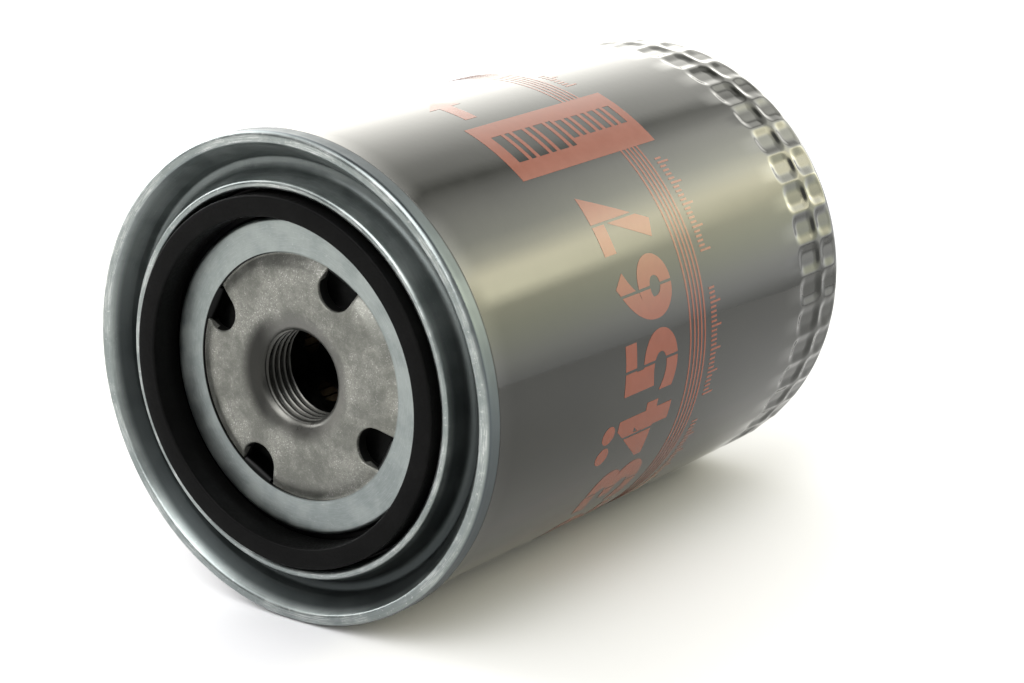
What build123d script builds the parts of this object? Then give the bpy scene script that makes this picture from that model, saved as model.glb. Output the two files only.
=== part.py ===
from build123d import *
import os
from math import atan2, cos, pi, sin, sqrt, tan

# A spin-on engine oil filter that lies on its side. Its axis is the Y axis and its mounting face looks
# towards -Y. The origin is the mouth of the threaded hole, on the axis. All sizes are in millimetres.
os.makedirs("parts", exist_ok=True)

# Can: a drawn steel cup with a rounded shoulder, a domed end and two rows of pressed grip dimples.
can_diameter = 93.0
can_wall = 0.35
can_height = 140.3          # from the crest of the seam to the top of the dome
shoulder_radius = 8.8
dome_radius = 85.0

# Grip dimples.
dimple_pitch = 6.64         # round the can
dimple_width = 4.5          # round the can, at the surface
dimple_depth = 0.7
front_dimple_length = 7.2
rear_dimple_length = 6.2
dimple_ridge = 1.5          # plain band between the two rows
grip_overrun = 3.1          # how far the rear row runs on to the shoulder

# Seam that joins the cover to the can.
cover_wall = 0.4
seam_height = 4.1
seam_crest = -5.0           # axial place of the seam's crest
seam_gap = 0.03             # between the folded layers
compound_thickness = 0.24
hook_end_gap = 0.35         # free space past the end of each hook
crest_bend = 0.8            # middle radius of the seam's outer bend
fold_bend = 0.3             # middle radius of the tight folds

# Base plate: thick pressed steel with a drawn and threaded hub.
thread_minor = 17.5         # of a 3/4-16 UNF thread
thread_length = 7.4
hub_wall = 3.4
plate_thickness = 3.0
plate_face = -2.0           # front of the raised middle of the plate
plate_face_diameter = 43.0
slope_width = 2.24          # from the raised middle down to the part under the cover's ring
plate_diameter = 82.0
entry_dish = 0.5            # shallow dish round the mouth of the hub
entry_dish_diameter = 26.0
thread_relief = 0.6
step_gap = 0.3              # from the step under the channel to the channel's inner wall
step_bend = 1.0             # where that step starts, from the same wall
back_shift = 0.8            # the steps in the plate's back lie this far outside those in its front

# Oil inlets through the plate.
inlet_count = 4
inlet_width = 8.0
inlet_inner_radius = 17.3
inlet_outer_radius = 28.5
first_inlet_angle = 61.5    # degrees from +X towards +Z

# Cover: thin plated sheet with the gasket's channel, spun into the can's seam.
ring_gap = 0.3              # between the plate's slope and the edge of the cover's ring
ring_drop = 1.0             # the ring's front face lies this far behind the plate's raised face
lip_height = 1.4            # inner wall of the gasket's channel
bead_height = 5.4           # outer wall of the gasket's channel
bead_width = 1.2
trough_inset = 6.5          # from the can's outer radius to the trough's inner corner
trough_width = 2.25
chuck_foot_inset = 3.4      # from the can's outer radius to the foot of the chuck wall
chuck_foot = -1.0           # axial place of that burnished foot
chuck_crest_inset = 0.75    # the chuck wall's top lies this far inside the can's outer radius
tab_clearance = 0.4         # each side of a tab in its inlet
tab_bend = 1.2
tab_length = 2.8

# Gasket.
gasket_inner_diameter = 63.8
gasket_width = 4.2
gasket_height = 7.0
gasket_edge = 0.35
gasket_inner_gap = 1.0      # to the channel's inner wall
gasket_outer_gap = 0.7      # to the channel's outer wall

# Anti-drainback valve: a rubber collar on the hub with a skirt whose lip covers the inlets.
valve_fit = 0.05
valve_collar_wall = 2.6
valve_height = 8.0          # collar, from the back of the plate
valve_skirt = 1.4
valve_lip_diameter = 69.0
valve_lip_width = 2.4

# Filter element.
oil_gap = 5.7               # from the element's end caps to the can
cap_wall = 0.4
cap_rim = 4.0
cap_collar_gap = 1.0        # to the hub
cap_collar = 5.0
tube_wall = 0.4
tube_fit = 0.05
tube_hole = 5.0
tube_holes_round = 8
tube_row_pitch = 10.0
potting = 2.2
media_gap = 1.9             # from the tube to the pleats
media_rim_gap = 0.7         # from the pleats to the end caps' rims
media_wall = 0.5
pleat_count = 56
pleat_half_width = 0.7
clip_wall = 0.3
clip_depth = 3.2
clip_fit = 0.06

# Bypass valve in the element's rear cap.
bypass_hole_diameter = 13.0
bypass_plate = 0.8
bypass_travel = 3.0
bypass_seal_diameter = 17.0
bypass_seal_thickness = 1.4
bypass_disc = 1.2
bypass_stem_diameter = 4.0
bypass_stem_fit = 0.05
bypass_seat_gap = 0.05
bypass_wire = 0.9
bypass_spring_diameter = 10.0
bypass_coils = 4.5
bypass_spring_spare = 1.55  # between the coils, all together, when the valve is fully open
cage_wall = 0.6
cage_fit = 0.3              # to the centre tube
cage_window = 5.0
cage_windows = 4
cap_hole_overlap = 2.0      # the bypass plate behind the edge of the rear cap's hole

# Element spring between the element and the dome.
spring_wire = 2.0
spring_diameter = 32.0
spring_length = 13.7
spring_coils = 3.0
spring_seat_thickness = 1.0
spring_seat_width = 7.0
spring_seat_gap = 0.05

edge_break = 0.15


def turned(outline, radii=0.0):
    """The solid made by turning a closed outline of (radius, axial place) points about the axis."""
    corners = radii if isinstance(radii, list) else [radii] * len(outline)
    return revolve(make_face(FilletPolyline(*outline, radius=corners, close=True)), axis=Axis.Y)


def beside(points, shift):
    """The line that runs at a set distance on the left of an open line of points."""
    headings = [atan2(b[1] - a[1], b[0] - a[0]) for a, b in zip(points, points[1:])]
    moved = []
    for i, (x, y) in enumerate(points):
        before = headings[max(i - 1, 0)]
        after = headings[min(i, len(headings) - 1)]
        middle = before + (after - before + pi) % (2 * pi) / 2 - pi / 2
        reach = shift / cos(middle - before)
        moved.append((x - reach * sin(middle), y + reach * cos(middle)))
    return moved


def bent_sheet(points, bends, wall):
    """A turned sheet whose middle runs through the points, with a bend radius at each inner point."""
    left = beside(points, wall / 2)
    right = beside(points, -wall / 2)
    left_radii = [0.0]
    right_radii = [0.0]
    for a, b, c, bend in zip(points, points[1:], points[2:], bends):
        turn = (b[0] - a[0]) * (c[1] - b[1]) - (b[1] - a[1]) * (c[0] - b[0])
        side = 1 if turn > 0 else -1
        left_radii.append(max(bend - side * wall / 2, 0.0))
        right_radii.append(max(bend + side * wall / 2, 0.0))
    left_radii.append(0.0)
    right_radii.append(0.0)
    return turned(left + right[::-1], left_radii + right_radii[::-1])


def at_angle(shape, angle):
    """The shape turned about the axis, from +X towards +Z."""
    return Rot(0, -angle, 0) * shape


def coil(diameter, wire, start, length, coils):
    """A coil spring of round wire between two axial places."""
    rise = length - wire
    path = Helix(pitch=rise / coils, height=rise, radius=diameter / 2,
                 center=(0, start + wire / 2, 0), direction=(0, 1, 0))
    section = Plane(origin=path @ 0, z_dir=path % 0) * Circle(wire / 2)
    return sweep(section, path=path, is_frenet=True)


def save(shape, name):
    """One STEP file for one named piece."""
    shape.label = name
    export_step(shape, f"parts/{name}.step")


# Places that several pieces share.
can_radius = can_diameter / 2
can_inner_radius = can_radius - can_wall
dome_top = seam_crest + can_height
shoulder_tilt = atan2(
    sqrt((dome_radius - shoulder_radius) ** 2 - (can_radius - shoulder_radius) ** 2),
    can_radius - shoulder_radius,
)
dome_centre = dome_top - dome_radius
shoulder_start = dome_centre + (dome_radius - shoulder_radius) * sin(shoulder_tilt)
bore_radius = thread_minor / 2
hub_radius = bore_radius + hub_wall
ring_face = plate_face + ring_drop
ring_back = ring_face + cover_wall
plate_face_radius = plate_face_diameter / 2
slope_end_radius = plate_face_radius + slope_width
ring_inner_radius = slope_end_radius + ring_gap
gasket_inner_radius = gasket_inner_diameter / 2
gasket_outer_radius = gasket_inner_radius + gasket_width
channel_inner_radius = gasket_inner_radius - gasket_inner_gap
channel_outer_radius = gasket_outer_radius + gasket_outer_gap
channel_floor = ring_face + lip_height
channel_back = channel_floor + cover_wall
plate_radius = plate_diameter / 2
plate_middle_back = plate_face + plate_thickness
plate_outer_back = channel_back + plate_thickness


def dome_inside(radius):
    """Axial place of the dome's inner face at a radius."""
    inner = dome_radius - can_wall
    return dome_centre + sqrt(inner ** 2 - radius ** 2)


def can_body(inset):
    """The can's outer form moved inwards, as a turned solid from the seam to the dome."""
    radius = can_radius - inset
    corner = shoulder_radius - inset
    dome = dome_radius - inset
    centre = can_radius - shoulder_radius
    start = (radius, shoulder_start)
    middle = (centre + corner * cos(shoulder_tilt / 2), shoulder_start + corner * sin(shoulder_tilt / 2))
    end = (centre + corner * cos(shoulder_tilt), shoulder_start + corner * sin(shoulder_tilt))
    half = (pi / 2 + shoulder_tilt) / 2
    crown = (dome * cos(half), dome_centre + dome * sin(half))
    top = (0, dome_centre + dome)
    foot = seam_bottom
    edges = Line((0, foot), (radius, foot)) + Line((radius, foot), start)
    edges += ThreePointArc(start, middle, end) + ThreePointArc(end, crown, top) + Line(top, (0, foot))
    return revolve(make_face(edges), axis=Axis.Y)


def dimples(inset):
    """Both rows of pressed dimples, grown by an inset on every side."""
    count = round(pi * can_diameter / dimple_pitch)
    rear_end = shoulder_start + grip_overrun
    front_end = rear_end - rear_dimple_length - dimple_ridge
    floor = can_radius - dimple_depth - inset
    outside = can_radius + 1.0
    angle = 360 * (dimple_width + 2 * inset) / (pi * can_diameter)
    tools = []
    for end, length in ((rear_end, rear_dimple_length), (front_end, front_dimple_length)):
        low = end - length - inset
        high = end + inset
        section = Polyline((floor, low), (outside, low), (outside, high), (floor, high), close=True)
        tool = revolve(make_face(section), axis=Axis.Y, revolution_arc=angle)
        tools += [at_angle(tool, 360 * k / count + angle / 2) for k in range(count)]
    return tools


# The folded layers of the seam, from the can's wall outwards.
seam_bottom = seam_crest + seam_height
cover_hook_radius = can_radius + seam_gap + cover_wall / 2
can_hook_radius = cover_hook_radius + cover_wall / 2 + seam_gap + can_wall / 2
cover_skirt_radius = can_hook_radius + can_wall / 2 + seam_gap + cover_wall / 2
crest_under = seam_crest + cover_wall
can_flange = crest_under + compound_thickness + 2 * seam_gap + can_wall / 2


def make_can():
    """The can with its flange folded outwards and down into the seam."""
    wall_middle = can_radius - can_wall / 2
    hook_end = seam_bottom - cover_wall - hook_end_gap
    hook = bent_sheet(
        [(can_hook_radius, hook_end), (can_hook_radius, can_flange), (wall_middle, can_flange),
         (wall_middle, seam_bottom)],
        [fold_bend, fold_bend], can_wall)
    outside = can_body(0) - dimples(0)
    inside = can_body(can_wall) - dimples(can_wall)
    return outside - inside + hook


def make_cover():
    """The plated cover: ring, gasket channel, bead, trough, chuck wall and folded seam."""
    half = cover_wall / 2
    points = [
        (ring_inner_radius, ring_face + half),
        (channel_inner_radius - half, ring_face + half),
        (channel_inner_radius - half, channel_floor + half),
        (channel_outer_radius + half, channel_floor + half),
        (channel_outer_radius + half, channel_floor - bead_height + half),
        (channel_outer_radius + half + bead_width, channel_floor - bead_height + half),
        (can_radius - trough_inset, channel_floor + half),
        (can_radius - trough_inset + trough_width, channel_floor + half),
        (can_radius - chuck_foot_inset, chuck_foot),
        (can_radius - chuck_crest_inset, seam_crest + half),
        (cover_skirt_radius, seam_crest + half),
        (cover_skirt_radius, seam_bottom - half),
        (cover_hook_radius, seam_bottom - half),
        (cover_hook_radius, can_flange + can_wall / 2 + hook_end_gap),
    ]
    bends = [0.7, 0.5, 0.6, 0.6, 0.55, 1.6, 0.9, 0.7, 0.6, crest_bend, fold_bend, fold_bend]
    cover = bent_sheet(points, bends, cover_wall)
    return cover + [at_angle(locking_tab(), inlet_angle(k)) for k in range(inlet_count)]


def inlet_angle(k):
    """Angle of an inlet, from +X towards +Z."""
    return first_inlet_angle + 360 * k / inlet_count


def locking_tab():
    """A tongue of the cover's ring that bends back into an inlet and stops the plate from turning."""
    outer = ring_inner_radius + 0.5
    turn = ring_inner_radius + 0.1
    depth = ring_face + tab_bend + tab_length
    bend = tab_bend - cover_wall
    tip = turn - tab_bend
    outline = [
        (outer, ring_face), (tip, ring_face), (tip, depth), (tip + cover_wall, depth),
        (tip + cover_wall, ring_back), (outer, ring_back),
    ]
    face = make_face(FilletPolyline(*outline, radius=[0.0, tab_bend, 0.0, 0.0, bend, 0.0], close=True))
    width = inlet_width - 2 * tab_clearance
    return extrude(face, amount=width / 2, both=True)


def make_base_plate():
    """The pressed plate with its hub, bored to the thread's minor diameter, and its inlets."""
    dish_radius = entry_dish_diameter / 2
    dish_turn = pi / 2 - atan2(entry_dish, dish_radius - bore_radius)
    mouth = plate_face + entry_dish
    entry_radius = -mouth / tan(dish_turn / 2)
    step_end = channel_inner_radius - cover_wall
    outline = [
        (bore_radius, mouth),
        (dish_radius, plate_face),
        (plate_face_radius, plate_face),
        (slope_end_radius, ring_back),
        (step_end - step_bend, ring_back),
        (step_end - step_gap, channel_back),
        (plate_radius, channel_back),
        (plate_radius, plate_outer_back),
        (channel_inner_radius + back_shift, plate_outer_back),
        (step_end - step_bend, ring_back + plate_thickness),
        (slope_end_radius + back_shift, ring_back + plate_thickness),
        (plate_face_radius + back_shift, plate_middle_back),
        (hub_radius, plate_middle_back),
        (hub_radius, thread_length),
        (bore_radius + thread_relief, thread_length),
        (bore_radius, thread_length - thread_relief),
    ]
    radii = [entry_radius, 3.0, 1.2, 0.6, 0.4, 0.3, 0.6, 0.6, 0.8, 0.6, 0.6, 0.8, 1.0, 0.6, 0.0, 0.0]
    plate = turned(outline, radii)
    length = inlet_outer_radius - inlet_inner_radius
    place = Plane(origin=((inlet_inner_radius + inlet_outer_radius) / 2, plate_face - 1, 0),
                  x_dir=(1, 0, 0), z_dir=(0, 1, 0))
    slot = extrude(place * SlotOverall(length, inlet_width), amount=2 * plate_thickness)
    return plate - [at_angle(slot, inlet_angle(k)) for k in range(inlet_count)]


def make_seam_compound():
    """The bead of sealing compound under the seam's crest."""
    low = crest_under + seam_gap
    inner = can_radius - can_wall
    outer = cover_skirt_radius - crest_bend
    return turned([(inner, low), (outer, low), (outer, low + compound_thickness),
                   (inner, low + compound_thickness)])


def make_gasket():
    """The square-cut rubber gasket in its channel."""
    face = channel_floor - gasket_height
    return turned([(gasket_inner_radius, face), (gasket_outer_radius, face),
                   (gasket_outer_radius, channel_floor), (gasket_inner_radius, channel_floor)], gasket_edge)


valve_top = plate_middle_back + valve_height


def make_drainback_valve():
    """The rubber valve: its collar also seals the element to the hub."""
    inner = hub_radius + valve_fit
    outer = inner + valve_collar_wall
    lip = valve_lip_diameter / 2
    base = plate_middle_back + 1.0
    skirt_top = valve_top - 1.4
    seat = plate_outer_back
    outline = [
        (inner, base),
        (outer - 0.4, base),
        (outer - 0.4, skirt_top - 1.8 * valve_skirt),
        (lip - valve_lip_width, seat),
        (lip, seat),
        (lip, seat + 1.0),
        (lip - valve_lip_width, seat + valve_skirt),
        (outer + 0.6, skirt_top),
        (outer + 0.6, valve_top),
        (inner, valve_top),
    ]
    return turned(outline, [0.2, 0.5, 0.6, 0.6, 0.2, 0.4, 1.0, 0.6, 0.3, 0.3])


# The element stands on the valve's collar and ends under its spring.
element_front = valve_top
spring_seat_radius = spring_diameter / 2 + spring_seat_width / 2
spring_seat_top = dome_inside(spring_seat_radius) - spring_seat_gap
element_rear = spring_seat_top - spring_seat_thickness - spring_seat_gap - spring_length - spring_seat_gap
element_radius = can_inner_radius - oil_gap
cap_collar_radius = hub_radius + cap_collar_gap
tube_inner_radius = cap_collar_radius + cap_wall + tube_fit
tube_outer_radius = tube_inner_radius + tube_wall
cap_bend = 0.7
front_floor = element_front + cap_wall
rear_floor = element_rear - cap_wall
media_inner_radius = tube_outer_radius + media_gap
media_outer_radius = element_radius - cap_wall - media_rim_gap


def make_front_cap():
    """The dished front end cap with a collar inside the centre tube."""
    half = cap_wall / 2
    rim = element_radius - half
    middle = element_front + half
    neck = cap_collar_radius + half
    return bent_sheet([(neck, element_front + cap_collar), (neck, middle), (rim, middle),
                       (rim, element_front + cap_rim)], [cap_bend, cap_bend], cap_wall)


def make_rear_cap():
    """The dished rear end cap, open in the middle for the bypass valve."""
    half = cap_wall / 2
    rim = element_radius - half
    middle = element_rear - half
    hole = tube_inner_radius - cage_fit - cap_hole_overlap
    return bent_sheet([(hole, middle), (rim, middle), (rim, element_rear - cap_rim)], [cap_bend], cap_wall)


def make_potting(floor, direction):
    """Adhesive that holds the pleats and the tube in an end cap; direction points into the element."""
    inner = tube_outer_radius + tube_fit
    outer = element_radius - cap_wall - tube_fit
    top = floor + direction * potting
    outline = [(inner, floor), (outer, floor), (outer, top), (inner, top)]
    return turned(outline, [0.0, cap_bend, 0.0, 0.0])


def make_centre_tube():
    """The perforated tube that keeps the pleats from falling in."""
    start = front_floor + cap_bend
    end = rear_floor - tube_fit
    tube = turned([(tube_inner_radius, start), (tube_outer_radius, start), (tube_outer_radius, end),
                   (tube_inner_radius, end)])
    clear_start = element_front + cap_collar + tube_hole
    clear_end = cage_floor - tube_hole
    rows = int((clear_end - clear_start) // tube_row_pitch) + 1
    punches = []
    for row in range(rows):
        axial = clear_start + row * tube_row_pitch
        for k in range(tube_holes_round // 2):
            turn = 360 / tube_holes_round * (k + row % 2 / 2)
            punch = Cylinder(tube_hole / 2, 2 * tube_outer_radius + 2, rotation=(0, 90, 0))
            punches.append(at_angle(Pos(0, axial, 0) * punch, turn))
    return tube - punches


def pleat_outline(tip, root, tip_half, root_half):
    """Points of a star of pleats with parallel sides."""
    points = []
    for k in range(pleat_count):
        middle = 2 * pi * k / pleat_count
        for radius, half in ((root, -root_half), (tip, -tip_half), (tip, tip_half), (root, root_half)):
            angle = middle + half / radius
            points.append((radius * cos(angle), radius * sin(angle)))
    return points


def make_pleated_media():
    """Pleated paper of even thickness between the two layers of adhesive."""
    start = front_floor + potting
    length = rear_floor - potting - start
    wall = media_wall
    root = media_inner_radius
    outer = pleat_outline(media_outer_radius, root + wall, pleat_half_width, pleat_half_width)
    inner = pleat_outline(media_outer_radius - wall, root, pleat_half_width - wall, pleat_half_width - wall)
    place = Plane(origin=(0, start, 0), x_dir=(1, 0, 0), z_dir=(0, 1, 0))
    face = make_face(Polyline(*outer, close=True)) - make_face(Polyline(*inner, close=True))
    return extrude(place * face, amount=length)


def make_seam_clip():
    """The folded strip that joins the two ends of the pleated paper, over one pleat."""
    start = front_floor + potting
    length = rear_floor - potting - start
    half = pleat_half_width + clip_fit
    tip = media_outer_radius + clip_fit
    outline = [
        (tip - clip_depth, half), (tip, half), (tip, -half), (tip - clip_depth, -half),
        (tip - clip_depth, -half - clip_wall), (tip + clip_wall, -half - clip_wall),
        (tip + clip_wall, half + clip_wall), (tip - clip_depth, half + clip_wall),
    ]
    place = Plane(origin=(0, start, 0), x_dir=(1, 0, 0), z_dir=(0, 1, 0))
    return extrude(place * make_face(Polyline(*outline, close=True)), amount=length)


# The bypass valve hangs from the rear cap into the centre tube and opens towards -Y.
bypass_radius = tube_inner_radius - cage_fit
seat_back = rear_floor
seat_front = seat_back - bypass_plate
seal_back = seat_front - bypass_seat_gap
disc_back = seal_back - bypass_seal_thickness
disc_front = disc_back - bypass_disc
bypass_spring_room = (bypass_coils + 1) * bypass_wire + bypass_travel + bypass_spring_spare
cage_floor = disc_front - bypass_spring_room - cage_wall


def make_bypass_seat():
    """The plate under the rear cap whose hole the valve shuts."""
    hole = bypass_hole_diameter / 2
    return turned([(hole, seat_front), (bypass_radius, seat_front), (bypass_radius, seat_back),
                   (hole, seat_back)], edge_break)


def make_bypass_cage():
    """The windowed cup under the seat that holds the spring and guides the stem."""
    half = cage_wall / 2
    guide = bypass_stem_diameter / 2 + bypass_stem_fit
    cage = bent_sheet([(bypass_radius - half, seat_front), (bypass_radius - half, cage_floor + half),
                       (guide, cage_floor + half)], [1.0], cage_wall)
    height = seat_front - cage_floor - 2 * cage_wall - 3.0
    middle = cage_floor + cage_wall + 1.5 + height / 2
    windows = [at_angle(Pos(bypass_radius, middle, 0) * Box(4, height, cage_window), 360 * k / cage_windows)
               for k in range(cage_windows)]
    return cage - windows


def make_bypass_seal():
    """The rubber washer on the valve's disc."""
    stem = bypass_stem_diameter / 2
    outer = bypass_seal_diameter / 2
    return turned([(stem, disc_back), (outer, disc_back), (outer, seal_back), (stem, seal_back)])


def make_bypass_poppet():
    """The valve's disc and the stem that runs in the cage."""
    stem = bypass_stem_diameter / 2
    outer = bypass_seal_diameter / 2
    tail = cage_floor - 1.5
    head = seal_back + bypass_plate / 2
    return turned([(0, tail), (stem, tail), (stem, disc_front), (outer, disc_front), (outer, disc_back),
                   (stem, disc_back), (stem, head), (0, head)],
                  [0.0, 0.5, 0.3, 0.3, 0.0, 0.0, 0.4, 0.0])


def make_spring_seat():
    """The washer that spreads the element spring's load on the dome."""
    outer = spring_seat_radius
    inner = outer - spring_seat_width
    low = spring_seat_top - spring_seat_thickness
    return turned([(inner, low), (outer, low), (outer, spring_seat_top), (inner, spring_seat_top)], edge_break)


save(make_can(), "can")
save(make_cover(), "cover")
save(make_base_plate(), "base_plate")
save(make_seam_compound(), "seam_compound")
save(make_gasket(), "gasket")
save(make_drainback_valve(), "anti_drainback_valve")
save(make_front_cap(), "front_end_cap")
save(make_rear_cap(), "rear_end_cap")
save(make_potting(front_floor, 1), "front_potting")
save(make_potting(rear_floor, -1), "rear_potting")
save(make_centre_tube(), "centre_tube")
save(make_pleated_media(), "pleated_media")
save(make_seam_clip(), "media_seam_clip")
save(make_bypass_seat(), "bypass_seat")
save(make_bypass_cage(), "bypass_cage")
save(make_bypass_seal(), "bypass_seal")
save(make_bypass_poppet(), "bypass_poppet")
save(coil(bypass_spring_diameter, bypass_wire, cage_floor + cage_wall + valve_fit,
          bypass_spring_room - 2 * valve_fit, bypass_coils), "bypass_spring")
save(coil(spring_diameter, spring_wire, element_rear + spring_seat_gap, spring_length, spring_coils),
     "element_spring")
save(make_spring_seat(), "spring_seat")
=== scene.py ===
import math

import bmesh
import bpy
import numpy as np
from mathutils import Matrix, Vector, geometry


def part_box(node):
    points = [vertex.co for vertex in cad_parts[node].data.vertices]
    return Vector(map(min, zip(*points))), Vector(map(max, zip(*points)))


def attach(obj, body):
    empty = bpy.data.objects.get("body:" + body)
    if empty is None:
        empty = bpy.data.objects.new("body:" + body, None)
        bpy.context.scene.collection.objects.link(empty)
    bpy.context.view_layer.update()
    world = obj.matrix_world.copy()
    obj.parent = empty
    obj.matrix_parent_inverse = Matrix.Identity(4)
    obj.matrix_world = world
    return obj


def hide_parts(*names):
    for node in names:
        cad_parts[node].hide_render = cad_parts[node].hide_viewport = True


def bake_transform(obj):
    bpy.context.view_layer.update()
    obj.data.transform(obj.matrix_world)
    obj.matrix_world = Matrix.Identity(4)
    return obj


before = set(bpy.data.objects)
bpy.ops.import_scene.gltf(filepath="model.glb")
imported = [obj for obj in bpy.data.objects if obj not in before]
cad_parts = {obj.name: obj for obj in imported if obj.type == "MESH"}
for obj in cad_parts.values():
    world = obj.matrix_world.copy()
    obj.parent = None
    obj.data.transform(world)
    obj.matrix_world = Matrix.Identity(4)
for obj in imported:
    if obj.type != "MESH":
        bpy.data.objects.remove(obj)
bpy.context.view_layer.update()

# Lengths are in millimetres until a mesh is made. The axis is Y: a point is (radius, axial) on a section,
# and angles run from +X towards +Z.
MM = 0.001
BODY = "filter"
# Vertices nearer than WELD are joined. An edge of a thickened sheet is sharp from SHARP_WALL degrees on.
WELD = 0.002
SHARP_WALL = 40.0


def reach(node, corner, axis):
    """One coordinate of a CAD node's box, in millimetres."""
    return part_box(node)[corner][axis] / MM


SEAM_CREST = reach("cover", 0, 1)
SEAM_RADIUS = reach("cover", 1, 0)
DOME_TOP = reach("can", 1, 1)
GASKET_FACE = reach("gasket", 0, 1)
CHANNEL_FLOOR = reach("gasket", 1, 1)
GASKET_OUTER = reach("gasket", 1, 0)
PLATE_RADIUS = reach("base_plate", 1, 0)
PLATE_FACE = reach("base_plate", 0, 1)
HUB_END = reach("base_plate", 1, 1)

# Sections that the CAD pieces have and their boxes don't give.
COVER_WALL = 0.4
CAN_WALL = 0.35
SEAM_GAP = 0.03
CAN_RADIUS = SEAM_RADIUS - 2 * COVER_WALL - CAN_WALL - 3 * SEAM_GAP
SEAM_HEIGHT = 4.1
SEAM_FOOT = SEAM_CREST + SEAM_HEIGHT
SHOULDER = 8.8
DOME = 85.0
DOME_CENTRE = DOME_TOP - DOME
DOME_TILT = math.acos((CAN_RADIUS - SHOULDER) / (DOME - SHOULDER))
WALL_END = DOME_CENTRE + (DOME - SHOULDER) * math.sin(DOME_TILT)
GASKET_INNER = 31.9
RING_FACE = PLATE_FACE + 1.0
RING_INNER = 24.04
CHANNEL_INNER = GASKET_INNER - 1.0
CHANNEL_OUTER = GASKET_OUTER + 0.7
THREAD_MINOR = 8.75
THREAD_MAJOR = 9.525
THREAD_PITCH = 25.4 / 16
THREAD_START = 1.9
HUB_RADIUS = 12.15
DISH_RADIUS = 13.2
DISH_DEPTH = 1.5
PLATE_WALL = 3.0
PLATE_SLOPE = (21.3, 23.74)
INLETS = [math.radians(61.5 + 90 * k) for k in range(4)]
INLET_INNER = 17.3
INLET_OUTER = 28.5
INLET_HALF = 4.0
INLET_EDGE = 0.4
DIMPLES = 44
DIMPLE_DEPTH = 0.5
DIMPLE_HALF_WIDTH = 2.45
DIMPLE_CORNER = 2.0
FRONT_ROW = 7.2
REAR_ROW = 6.2
ROW_GAP = 1.5
ROWS_PAST_WALL = 3.1


# ---------------------------------------------------------------- outlines

def rounded(points, radii, steps=8):
    """An open line through the points with its inner corners rounded to the radii."""
    z = [complex(*p) for p in points]
    out = [z[0]]
    for a, b, c, radius in zip(z, z[1:], z[2:], radii):
        before = (b - a) / abs(b - a)
        after = (c - b) / abs(c - b)
        turn = np.angle(after / before)
        if radius == 0 or abs(turn) < 1e-6:
            out.append(b)
            continue
        side = 1j if turn > 0 else -1j
        start = b - before * radius * math.tan(abs(turn) / 2)
        centre = start + side * before * radius
        out += [centre - side * before * radius * np.exp(1j * turn * k / steps)
                for k in range(steps + 1)]
    out.append(z[-1])
    return [(p.real, p.imag) for p in out]


def subdivided(points, step):
    """The line with extra points so that no run is longer than the step."""
    out = [points[0]]
    for (r0, y0), (r1, y1) in zip(points, points[1:]):
        count = max(1, math.ceil(math.hypot(r1 - r0, y1 - y0) / step))
        out += [(r0 + (r1 - r0) * k / count, y0 + (y1 - y0) * k / count)
                for k in range(1, count + 1)]
    return out


# ---------------------------------------------------------------- meshes

def linked(name, data):
    """A new object in the scene's collection."""
    made = bpy.data.objects.new(name, data)
    bpy.context.collection.objects.link(made)
    return made


def piece(name, vertices, faces, material, sharp=35.0, replaces=None):
    """A mesh object from millimetre vertices that rides on the filter's body."""
    mesh = bpy.data.meshes.new(name)
    mesh.from_pydata([tuple(v) for v in np.asarray(vertices) * MM], [], [tuple(f) for f in faces])
    mesh.materials.append(material)
    mesh.validate()
    work = bmesh.new()
    work.from_mesh(mesh)
    bmesh.ops.remove_doubles(work, verts=work.verts, dist=WELD * MM)
    bmesh.ops.recalc_face_normals(work, faces=work.faces)
    work.to_mesh(mesh)
    work.free()
    mesh.polygons.foreach_set("use_smooth", [True] * len(mesh.polygons))
    mesh.set_sharp_from_angle(angle=math.radians(sharp))
    made = linked(name, mesh)
    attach(made, BODY)
    if replaces:
        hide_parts(replaces)
    return made


def ring_faces(rows, columns, closed_rows=False):
    """Quads of a grid of rows by columns whose columns go all the way round."""
    faces = []
    for i in range(rows if closed_rows else rows - 1):
        n = (i + 1) % rows
        for j in range(columns):
            m = (j + 1) % columns
            faces.append((i * columns + j, i * columns + m, n * columns + m, n * columns + j))
    return faces


def lathe_points(outline, columns):
    """Vertices of an outline turned about the Y axis."""
    angles = np.linspace(0, 2 * math.pi, columns, endpoint=False)
    section = np.asarray(outline)
    r = section[:, 0:1]
    y = np.repeat(section[:, 1:2], columns, axis=1)
    return np.stack([r * np.cos(angles), y, r * np.sin(angles)], -1).reshape(-1, 3)


def thickened(made, wall, even=True):
    """Gives a sheet its wall, applied to the mesh."""
    solid = made.modifiers.new("wall", "SOLIDIFY")
    solid.thickness = wall * MM
    solid.offset = 0.0
    solid.use_even_offset = even
    evaluated = made.evaluated_get(bpy.context.evaluated_depsgraph_get())
    mesh = bpy.data.meshes.new_from_object(evaluated)
    made.modifiers.clear()
    made.data = mesh
    mesh.set_sharp_from_angle(angle=math.radians(SHARP_WALL))
    return made


# ---------------------------------------------------------------- materials

def add(tree, kind, inputs=None, **settings):
    """A shader node with its settings and inputs; an input is a value or another node's output."""
    node = tree.nodes.new("ShaderNode" + kind)
    for key, value in settings.items():
        setattr(node, key, value)
    for key, value in (inputs or {}).items():
        if isinstance(value, bpy.types.NodeSocket):
            tree.links.new(value, node.inputs[key])
        else:
            node.inputs[key].default_value = value
    return node


def math_node(tree, operation, a, b=0.0):
    """One arithmetic step."""
    return add(tree, "Math", {0: a, 1: b}, operation=operation).outputs[0]


def times(tree, a, b):
    """The product of two values."""
    return math_node(tree, "MULTIPLY", a, b)


def plus(tree, a, b):
    """The sum of two values."""
    return math_node(tree, "ADD", a, b)


def minus(tree, a, b):
    """The difference of two values."""
    return math_node(tree, "SUBTRACT", a, b)


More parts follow.
